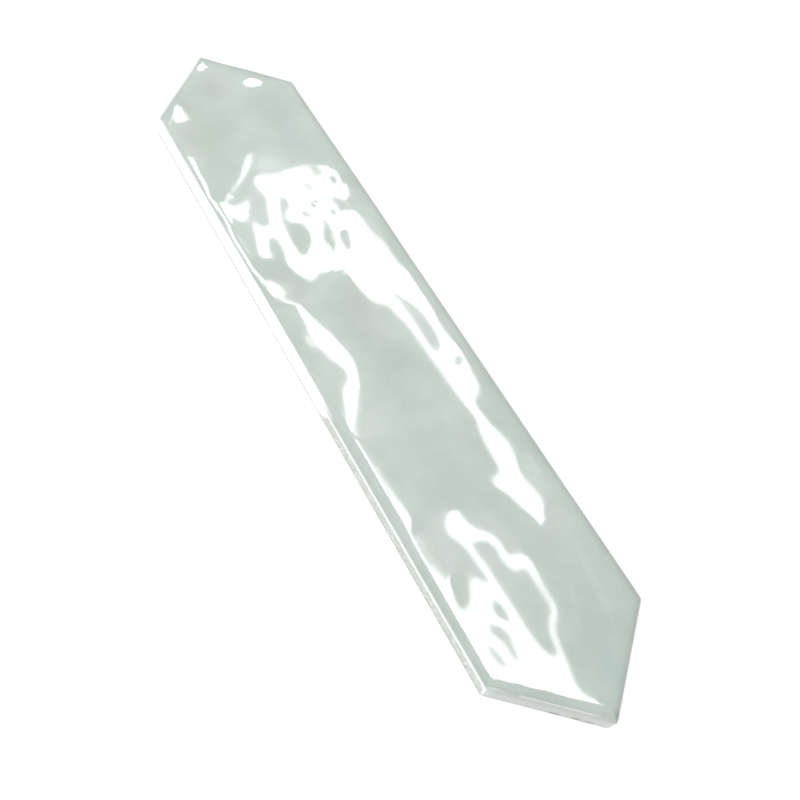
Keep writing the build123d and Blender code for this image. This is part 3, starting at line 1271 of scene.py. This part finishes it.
    def highlighted_edges(self, weave: Weave, place: Socket, inset: Socket, colour: Socket) -> Socket:
        """Painted highlights on the glaze's edges: pale along every arris, and white down the far
        part of one side.

        Args:
            weave: The weave of the glaze's colour.
            place: The places on the tile.
            inset: How far they lie inside the outline.
            colour: The colour of the whole glaze.

        Returns:
            The colour with its pale edges.
        """
        edge_highlights = self.edge_highlights
        x, y, height = weave.split(place)
        above_sides = weave.fade(height, *edge_highlights.above_sides)
        uneven = weave.noise(place, self.wobble_lump)
        along = weave.math("MULTIPLY_ADD", uneven, edge_highlights.wobble, x)
        # painted white highlight down the far part of the -Y side, along its arris and on the far
        # point
        white_highlight = weave.product(weave.fade(y, *edge_highlights.white_highlight_side), weave.fade(along, *edge_highlights.white_highlight_end))
        white_highlight = weave.math("MAXIMUM", white_highlight, weave.fade(y, *edge_highlights.arris_highlight))
        far_point_highlight = weave.product(weave.fade(x, *edge_highlights.far_end), weave.fade(y, *edge_highlights.far_side))
        far_point_highlight = weave.product(far_point_highlight, weave.fade(inset, *edge_highlights.far_edge))
        white_highlight = weave.math("MAXIMUM", white_highlight, far_point_highlight)
        # painted pale highlight along the arris of the +Y side
        sheltered_highlight = weave.product(above_sides, weave.fade(y, *edge_highlights.sheltered_side))
        sheltered_highlight = weave.product(sheltered_highlight, weave.fade(inset, *edge_highlights.sheltered_edge))
        colour = weave.tint(sheltered_highlight, colour, self.highlight_pale)
        # painted pale highlight along the near point's arris, with a thin line in from it
        thread = weave.math("ABSOLUTE", weave.math("SUBTRACT", inset, edge_highlights.thread_inset))
        thread = weave.fade(thread, *edge_highlights.thread_edge)
        thread = weave.product(thread, weave.fade(uneven, *edge_highlights.thread_gaps))
        near_highlight = weave.product(weave.fade(inset, *edge_highlights.near_arris_highlight), above_sides)
        near_point = weave.product(weave.fade(x, *edge_highlights.near_end), weave.fade(y, *edge_highlights.near_side))
        near_highlight = weave.product(weave.math("MAXIMUM", thread, near_highlight), near_point)
        colour = weave.tint(near_highlight, colour, self.highlight_pale)
        return weave.tint(white_highlight, colour, self.highlight_white)

    def shaded(self, tone: Tone, share: float) -> Rgb:
        """The glaze's colour, moved a share of the way to a tone."""
        return tuple(c * (1 + share * (t - 1)) for c, t in zip(self.glaze, tone.value))

    def cover_group(self) -> bpy.types.NodeTree:
        """Where the glaze has run: all the face, and the sides down to an uneven line.

        Returns:
            The group.
        """
        inputs = ("Place", "Inset", "Height")
        group, weave, given, out = shader_group("glaze_cover", inputs, ("Cover",))
        x, y, _ = weave.split(given["Place"])
        wobble = weave.noise(given["Place"], self.wobble_lump)
        along = weave.math("MULTIPLY_ADD", wobble, self.edge_highlights.wobble, x)
        bare = weave.product(weave.fade(along, *self.bare_start), weave.fade(x, *self.bare_end))
        bare = weave.product(bare, weave.fade(y, *self.bare_side))
        drip = weave.math("MULTIPLY_ADD", wobble, self.bare_drip, self.bare_line)
        line = weave.math("MULTIPLY_ADD", wobble, self.drip, self.lowest)
        line = weave.math("MAXIMUM", line, weave.product(bare, drip))
        line = weave.math("MAXIMUM", line, weave.fade(given["Inset"], *self.bare_back))
        low = weave.math("SUBTRACT", line, self.line_softness)
        high = weave.math("ADD", line, self.line_softness)
        weave.feed(out["Cover"], weave.fade(given["Height"], low, high))
        return group

    def clay_group(self) -> bpy.types.NodeTree:
        """The bare clay: a green grey with pale scuffs on the slant, darker at the foot with dust
        and a painted contact shadow.

        Returns:
            The group.
        """
        outputs = ("Colour", "Grain")
        group, weave, given, out = shader_group("bare_clay", ("Place", "Height"), outputs)
        place = given["Place"]
        slant = weave.add("VectorRotate", rotation_type="Y_AXIS")
        weave.feed(slant.inputs["Vector"], place)
        slant.inputs["Angle"].default_value = math.radians(self.scuff_slant)
        stretched = weave.vector("MULTIPLY", slant.outputs[0], self.scuff_stretch)
        patches = self.scuff_patches.woven(weave, place)
        scuffed = weave.product(self.scuff.woven(weave, stretched), patches)
        colour = weave.tint(scuffed, self.clay, self.chalk)
        lumps = weave.noise(place, self.foot_lump)
        foot = weave.math("MULTIPLY_ADD", lumps, self.foot_rise, self.lowest)
        clear = weave.math("ADD", foot, self.foot_fade)
        # dust with a painted contact shadow darkens the clay just above the foot
        dust_and_shadow_share = weave.fade(given["Height"], foot, clear, self.foot_dust_and_shadow, 0)
        dust_and_shadow_share = weave.product(dust_and_shadow_share, weave.fade(given["Height"], *self.under_foot))
        weave.feed(out["Colour"], weave.tint(dust_and_shadow_share, colour, self.dust_and_shadow))
        weave.feed(out["Grain"], weave.noise(place, *self.grain))
        return group

    def material(self) -> bpy.types.Material:
        """Weaves the groups into the one material of the tile.

        Returns:
            The material.
        """
        material = bpy.data.materials.new("glazed_fired_clay")
        material.use_nodes = True
        weave = Weave(material.node_tree)
        cloud = self.cloud_group()
        groups = self.places_group(), self.glaze_group(cloud), self.cover_group(), self.clay_group()
        places, glaze, cover, clay = (weave.add("Group", node_tree=group) for group in groups)
        for node in (glaze, cover, clay):
            for socket in node.inputs:
                weave.feed(socket, places.outputs[socket.name])
        covered = cover.outputs["Cover"]
        colour = weave.tint(covered, clay.outputs["Colour"], glaze.outputs["Colour"])
        colour = self.clouded(weave, cloud, MARKS, places.outputs["Place"], colour)
        bump = weave.add("Bump")
        bump.inputs["Distance"].default_value = self.clay_grain * MM
        bare = weave.math("SUBTRACT", 1.0, covered)
        weave.feed(bump.inputs["Height"], weave.product(clay.outputs["Grain"], bare))
        rough = weave.fade(covered, 0, 1, self.clay_roughness, self.glaze_roughness)
        shader = material.node_tree.nodes["Principled BSDF"]
        for name, value in (
            ("Base Color", colour),
            ("Roughness", rough),
            ("Normal", bump.outputs["Normal"]),
            ("Coat Weight", covered),
            ("Coat Roughness", self.gloss_roughness),
            ("Coat IOR", self.gloss),
            ("Specular IOR Level", self.haze),
        ):
            weave.feed(shader.inputs[name], value)
        return material


@dataclass
class Studio:
    """The plain pale floor, the soft light and the camera."""

    outline: Outline
    floor_size: float = 6.0
    floor_tone: float = 0.92
    floor_roughness: float = 0.9
    floor_glow: float = 1.04  # how bright the floor looks by itself to the camera and in gloss
    glow_share: float = 0.9
    sky: float = 0.40
    side_glow: float = 1.7
    side_place: tuple[float, float, float] = (120.0, -800.0, 520.0)
    side_size: tuple[float, float] = (1300.0, 900.0)
    sensor: float = 36.0
    nearest: float = 0.01  # metres from the camera, within which it sees nothing

    def build(self) -> None:
        """Lays the floor, hangs the softboxes, lights the sky and sets the camera."""
        bpy.ops.object.select_all(action="DESELECT")
        bpy.ops.mesh.primitive_plane_add(size=self.floor_size, location=(0, 0, 0))
        floor = bpy.context.object
        floor.name = "studio_floor"
        floor.data.materials.append(self.floor_material())
        for lamp in SOFTBOXES:
            lamp.build(self.outline.face_height)
        side = Vector(self.side_place)
        hang_lamp("side_softbox", side, Vector((0, 0, 0)), self.side_size, self.side_glow)
        self.light_sky()
        self.set_camera()
        bpy.context.scene.view_settings.view_transform = "Standard"

    def floor_material(self) -> bpy.types.Material:
        """The floor: pale, nearly white to the eye, with room for the tile's shadow.

        Returns:
            The material.
        """
        material = bpy.data.materials.new("studio_floor")
        material.use_nodes = True
        weave = Weave(material.node_tree)
        shader = material.node_tree.nodes["Principled BSDF"]
        shader.inputs["Base Color"].default_value = (*[self.floor_tone] * 3, 1)
        shader.inputs["Roughness"].default_value = self.floor_roughness
        glow = weave.add("Emission")
        glow.inputs["Strength"].default_value = self.floor_glow
        seen = weave.add("LightPath").outputs
        direct = weave.math("MAXIMUM", seen["Is Camera Ray"], seen["Is Glossy Ray"])
        share = weave.product(direct, self.glow_share)
        mix = weave.fed("MixShader", (share, shader.outputs["BSDF"], glow.outputs["Emission"]))
        ground = material.node_tree.nodes["Material Output"]
        weave.feed(ground.inputs["Surface"], mix.outputs["Shader"])
        return material

    def light_sky(self) -> None:
        """An even pale sky all round, which looks white to the eye as the floor does."""
        world = bpy.data.worlds.new("studio_sky")
        world.use_nodes = True
        weave = Weave(world.node_tree)
        seen = weave.add("LightPath").outputs["Is Camera Ray"]
        background = world.node_tree.nodes["Background"]
        background.inputs["Color"].default_value = (1, 1, 1, 1)
        strength = weave.math("MULTIPLY_ADD", seen, 1 - self.sky, self.sky)
        weave.feed(background.inputs["Strength"], strength)
        bpy.context.scene.world = world

    def set_camera(self) -> None:
        """The camera at the photograph's viewing angle."""
        bpy.ops.object.camera_add(location=Vector(EYE) * MM)
        camera = bpy.context.object
        camera.name = "studio_camera"
        ahead = Vector(EYE_AIM) - Vector(EYE)
        turn = ahead.to_track_quat("-Z", "Y").to_matrix().to_4x4()
        roll = Matrix.Rotation(math.radians(EYE_ROLL), 4, "Z")
        camera.matrix_world = Matrix.Translation(Vector(EYE) * MM) @ turn @ roll
        camera.data.sensor_width = self.sensor
        camera.data.lens = FOCAL_PIXELS / FRAME_PIXELS * self.sensor
        camera.data.clip_start = self.nearest
        bpy.context.scene.camera = camera


def main() -> None:
    """Builds the tile and the studio round it."""
    logging.basicConfig(level=logging.INFO, format="%(name)s: %(message)s")
    outline = Outline()
    tile = PicketTile(outline).build(Relief(outline))
    tile.data.materials.clear()
    tile.data.materials.append(GlazedClay(outline).material())
    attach(tile, "root")
    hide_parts(NODE)
    log.info("tile: %d vertices, %d faces", len(tile.data.vertices), len(tile.data.polygons))
    Studio(outline).build()


if __name__ == "__main__":
    main()
